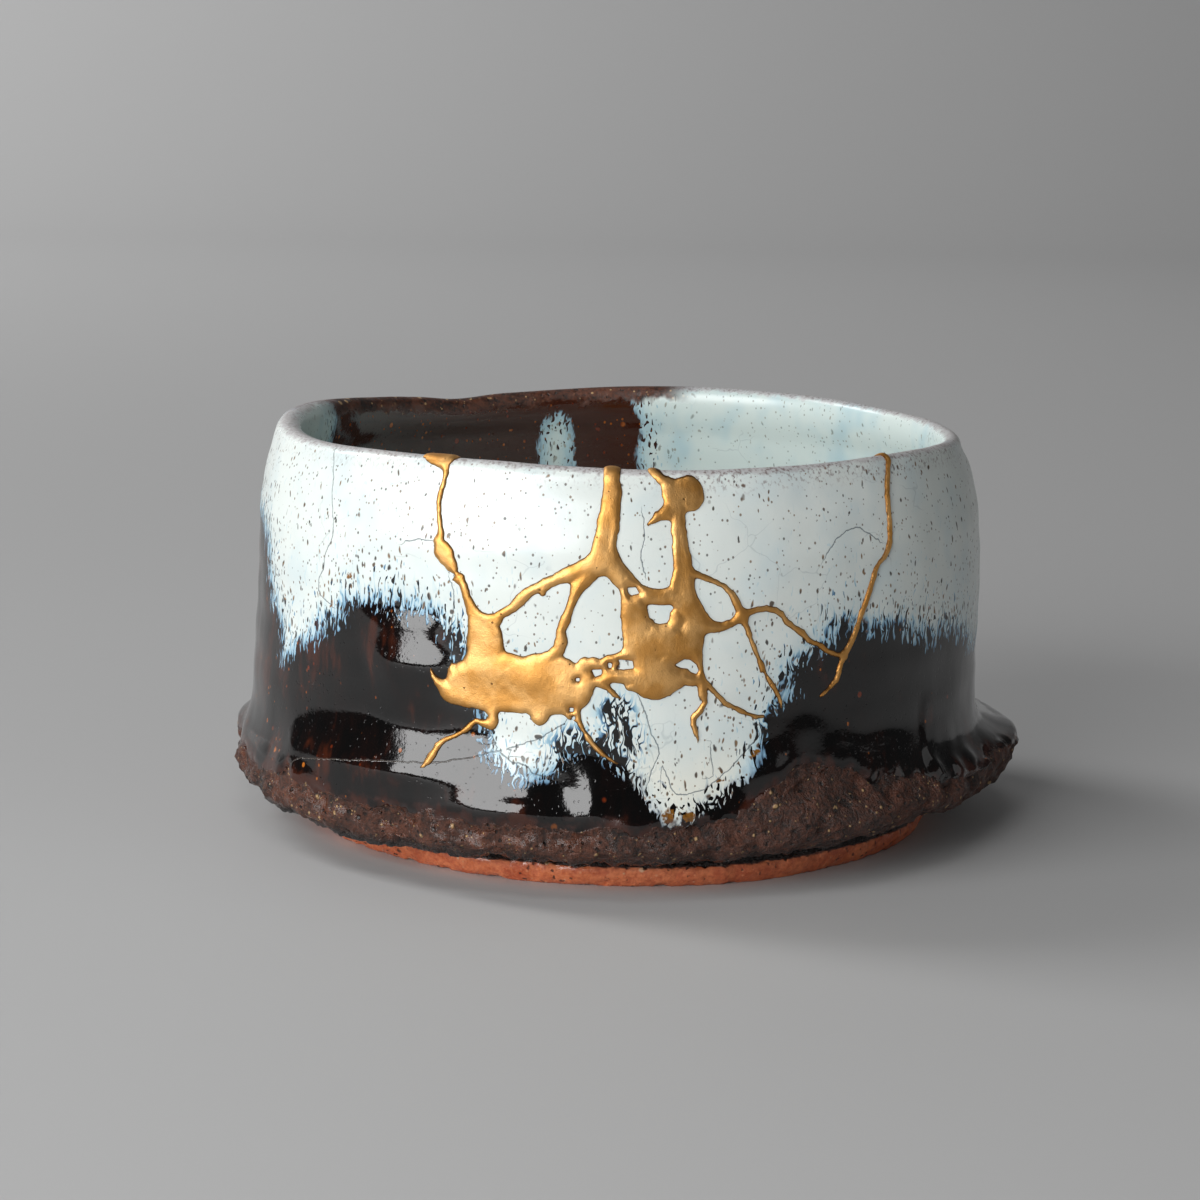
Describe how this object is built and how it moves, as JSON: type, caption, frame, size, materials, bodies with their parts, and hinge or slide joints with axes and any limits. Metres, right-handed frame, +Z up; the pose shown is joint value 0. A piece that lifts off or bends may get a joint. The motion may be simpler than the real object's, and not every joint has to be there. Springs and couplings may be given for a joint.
{
  "type": "kintsugi tea bowl",
  "caption": "Low, wide stoneware tea bowl with a ragged clay ledge over a raw foot ring, broken at the front and mended with raised gold seams; holds tea or stands on display.",
  "frame": {"origin": "on the surface that the foot stands on, under the middle of the bowl's overall width and depth", "axes": "+Z up out of the bowl's mouth, +X to the right along its widest extent, -Y the front, where the gold seams are"},
  "size_m": [0.1436, 0.1364, 0.0717],
  "materials": {
    "bowl_glaze": "pale blue-white opaque glaze poured over a glossy black-brown one, streaked where they meet, over rough brown clay at the ledge and bare orange clay at the foot",
    "sherd_glaze": "pale blue-white opaque glossy glaze with fine dark flecks and hairline crackle",
    "gold_lacquer": "satin gold powder on raised lacquer, soft-edged and slightly uneven"
  },
  "bodies": {
    "root": {"bowl_body": "bowl_glaze", "rim_sherd_left": "sherd_glaze", "rim_sherd_middle": "sherd_glaze", "rim_sherd_right": "sherd_glaze", "wall_sherd_left": "sherd_glaze", "wall_sherd_middle": "sherd_glaze", "wall_sherd_right": "sherd_glaze", "gold_seams": "gold_lacquer"}
  },
  "joints": []
}
